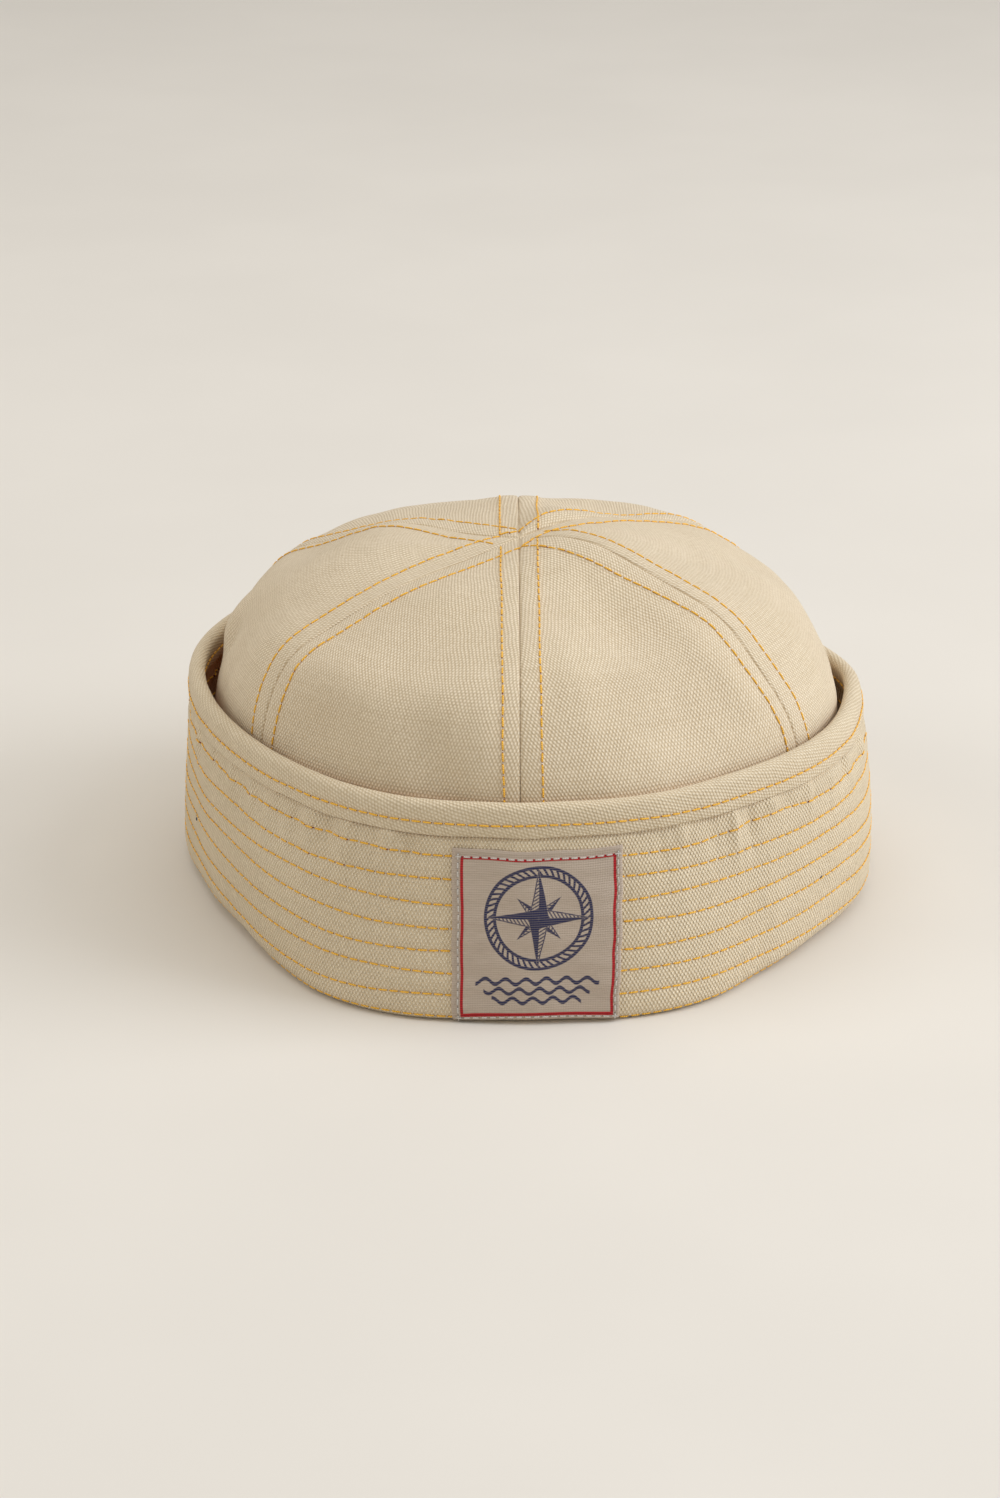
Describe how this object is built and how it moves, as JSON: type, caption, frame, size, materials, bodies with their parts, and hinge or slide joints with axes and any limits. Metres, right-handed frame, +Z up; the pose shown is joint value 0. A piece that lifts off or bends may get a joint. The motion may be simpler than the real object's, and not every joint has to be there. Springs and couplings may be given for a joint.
{
  "type": "sailor cap",
  "caption": "Canvas sailor cap: a domed crown of sewn panels inside a deep turned-up brim, with a bound rim, rows of stitching and a square label at the front",
  "frame": {"origin": "on the surface that the cap stands on, under the middle of its outline", "axes": "+Z up; the front of the cap, with the label, faces -Y; +X is on the right of someone who looks at the front"},
  "size_m": [0.1972, 0.202, 0.1031],
  "materials": {
    "canvas_crown": "matte plain-weave cotton canvas, natural",
    "canvas_brim": "matte plain-weave cotton canvas, quilted by rows of stitching",
    "canvas_binding": "matte cotton canvas cut on the bias",
    "label_satin": "woven satin label, taupe ground"
  },
  "bodies": {
    "root": {"crown_panel_back_left": "canvas_crown", "crown_panel_left": "canvas_crown", "crown_panel_front_left": "canvas_crown", "crown_panel_front_right": "canvas_crown", "crown_panel_right": "canvas_crown", "crown_panel_back_right": "canvas_crown", "brim": "canvas_brim", "brim_binding": "canvas_binding", "front_label": "label_satin"}
  },
  "joints": []
}
